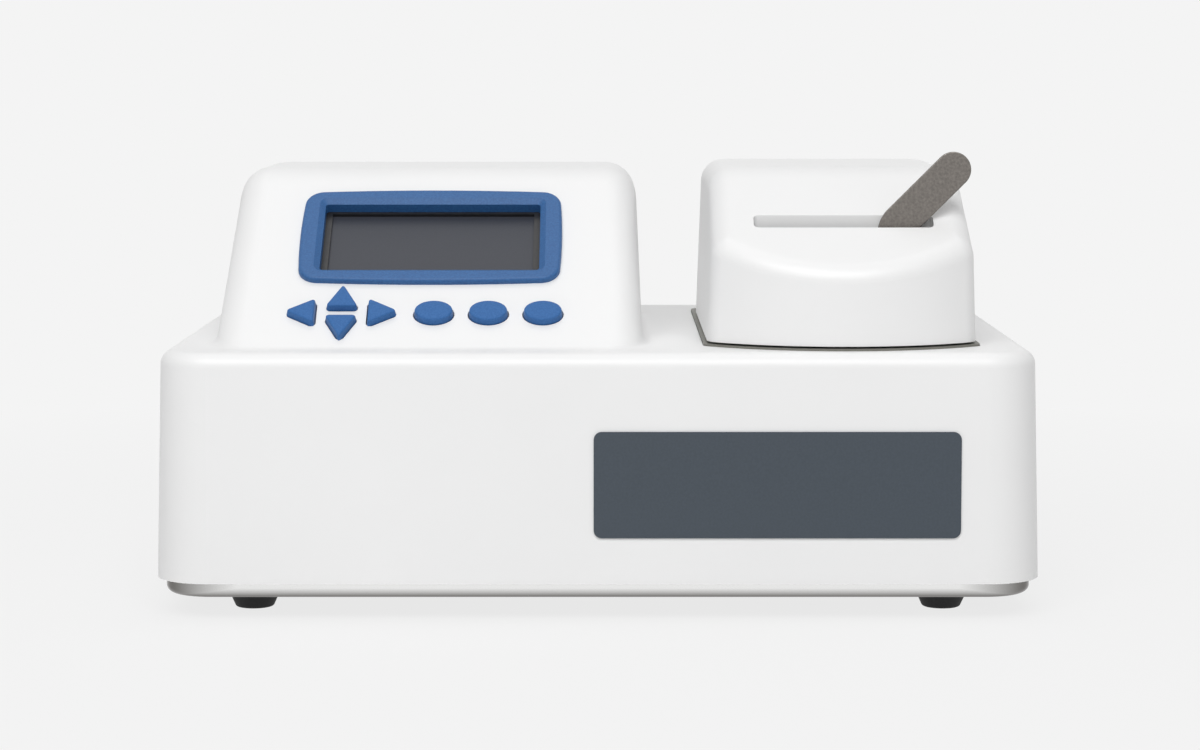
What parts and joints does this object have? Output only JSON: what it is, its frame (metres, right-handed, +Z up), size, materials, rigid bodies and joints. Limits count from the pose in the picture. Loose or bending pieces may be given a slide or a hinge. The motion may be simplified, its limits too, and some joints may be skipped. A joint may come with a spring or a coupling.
{
  "type": "water activity meter",
  "caption": "Bench-top dew-point water activity meter with a sloping display and keypad and a hinged lid over the sample chamber, locked by a swinging lever.",
  "frame": {"origin": "bottom centre of the whole meter, on the bench under the middle of the case", "axes": "+X to the user's right along the front, +Y to the back, +Z up"},
  "size_m": [0.267, 0.1781, 0.1391],
  "materials": {
    "white_shell": "satin white moulding",
    "steel_pan": "bright sheet",
    "black_rubber": "matte",
    "screw_steel": "plain",
    "slate_label": "matte dark grey-blue",
    "blue_plastic": "fine grained blue",
    "blue_rubber": "soft matte blue",
    "black_plastic": "matte",
    "display_grey": "unlit grey display",
    "green_board": "circuit board",
    "grey_metal": "satin warm grey",
    "aluminium": "machined",
    "ceramic_white": "ceramic faces",
    "lever_steel": "dark brushed stainless steel",
    "rivet_white": "white cap",
    "mirror": "polished",
    "sensor_gold": "plated can"
  },
  "bodies": {
    "base": {"upper_housing": "white_shell", "bottom_pan": "steel_pan", "pan_screws": "screw_steel", "rubber_feet": "black_rubber", "foot_screws": "screw_steel", "label_plate": "slate_label", "display_bezel": "blue_plastic", "display_frame": "black_plastic", "display_glass": "display_grey", "display_board": "green_board", "keypad_board": "green_board", "key_switches": "black_plastic", "main_board": "green_board", "board_screws": "screw_steel", "power_supply": "aluminium", "supply_screws": "screw_steel", "chamber_plate": "grey_metal", "chamber_screws": "screw_steel", "chamber_block": "aluminium", "thermoelectric_module": "ceramic_white", "heat_sink": "aluminium", "fan_frame": "black_plastic", "strike_bracket": "screw_steel", "strike_pin": "screw_steel", "hinge_bracket": "screw_steel", "hinge_screws": "screw_steel", "hinge_pin": "screw_steel", "rear_panel": "grey_metal", "rear_panel_screws": "screw_steel", "power_inlet": "black_plastic", "inlet_contacts": "screw_steel", "serial_port": "screw_steel", "usb_port": "screw_steel"},
    "lid": {"lid_shell": "white_shell", "lid_base_plate": "grey_metal", "lid_screws": "screw_steel", "lid_hinge_leaf": "screw_steel", "sensor_block": "aluminium", "chamber_seal": "black_rubber", "dew_point_mirror": "mirror", "infrared_sensor": "sensor_gold", "sensor_board": "green_board", "lever_bracket": "screw_steel", "lever_pin": "screw_steel"},
    "latch": {"latch_lever": "lever_steel", "latch_arm": "screw_steel", "lever_rivet": "rivet_white"},
    "air_stirrer": {"circulation_fan": "black_plastic"},
    "cooling_rotor": {"fan_rotor": "black_plastic"},
    "fuse_holder": {"fuse_drawer": "black_plastic"},
    "rocker": {"power_switch": "black_plastic"},
    "right_arrow_button": {"right_arrow_key": "blue_rubber"},
    "up_arrow_button": {"up_arrow_key": "blue_rubber"},
    "left_arrow_button": {"left_arrow_key": "blue_rubber"},
    "down_arrow_button": {"down_arrow_key": "blue_rubber"},
    "left_oval_button": {"left_oval_key": "blue_rubber"},
    "middle_oval_button": {"middle_oval_key": "blue_rubber"},
    "right_oval_button": {"right_oval_key": "blue_rubber"}
  },
  "joints": [
    {"name": "lid_hinge", "type": "hinge", "parent": "base", "child": "lid", "pos_m": [0.0742, 0.0565, 0.0871], "axis": [-1, 0, 0], "range_deg": [0, 80]},
    {"name": "lever_turn", "type": "hinge", "parent": "lid", "child": "latch", "pos_m": [0.075, -0.05595, 0.1003], "axis": [0, -1, 0], "range_deg": [0, 90]},
    {"name": "air_stirrer_spin", "type": "hinge", "parent": "lid", "child": "air_stirrer", "pos_m": [0.0742, -0.02945, 0.0882], "axis": [0, 0, 1], "continuous": true},
    {"name": "cooling_rotor_spin", "type": "hinge", "parent": "base", "child": "cooling_rotor", "pos_m": [0.0742, -0.02045, 0.0275], "axis": [0, 0, 1], "continuous": true},
    {"name": "fuse_holder_slide", "type": "slide", "parent": "base", "child": "fuse_holder", "axis": [0, 1, 0], "range_m": [0, 0.01]},
    {"name": "rocker_tilt", "type": "hinge", "parent": "base", "child": "rocker", "pos_m": [0.079, 0.0843, 0.0425], "axis": [-1, 0, 0], "range_deg": [0, 20]},
    {"name": "right_arrow_press", "type": "slide", "parent": "base", "child": "right_arrow_button", "axis": [0, 0.6018, -0.7986], "range_m": [0, 0.001], "stiffness_N_per_m": 600, "springref_m": -0.0005},
    {"name": "up_arrow_press", "type": "slide", "parent": "base", "child": "up_arrow_button", "axis": [0, 0.6018, -0.7986], "range_m": [0, 0.001], "stiffness_N_per_m": 600, "springref_m": -0.0005},
    {"name": "left_arrow_press", "type": "slide", "parent": "base", "child": "left_arrow_button", "axis": [0, 0.6018, -0.7986], "range_m": [0, 0.001], "stiffness_N_per_m": 600, "springref_m": -0.0005},
    {"name": "down_arrow_press", "type": "slide", "parent": "base", "child": "down_arrow_button", "axis": [0, 0.6018, -0.7986], "range_m": [0, 0.001], "stiffness_N_per_m": 600, "springref_m": -0.0005},
    {"name": "left_oval_press", "type": "slide", "parent": "base", "child": "left_oval_button", "axis": [0, 0.6018, -0.7986], "range_m": [0, 0.001], "stiffness_N_per_m": 600, "springref_m": -0.0005},
    {"name": "middle_oval_press", "type": "slide", "parent": "base", "child": "middle_oval_button", "axis": [0, 0.6018, -0.7986], "range_m": [0, 0.001], "stiffness_N_per_m": 600, "springref_m": -0.0005},
    {"name": "right_oval_press", "type": "slide", "parent": "base", "child": "right_oval_button", "axis": [0, 0.6018, -0.7986], "range_m": [0, 0.001], "stiffness_N_per_m": 600, "springref_m": -0.0005}
  ]
}
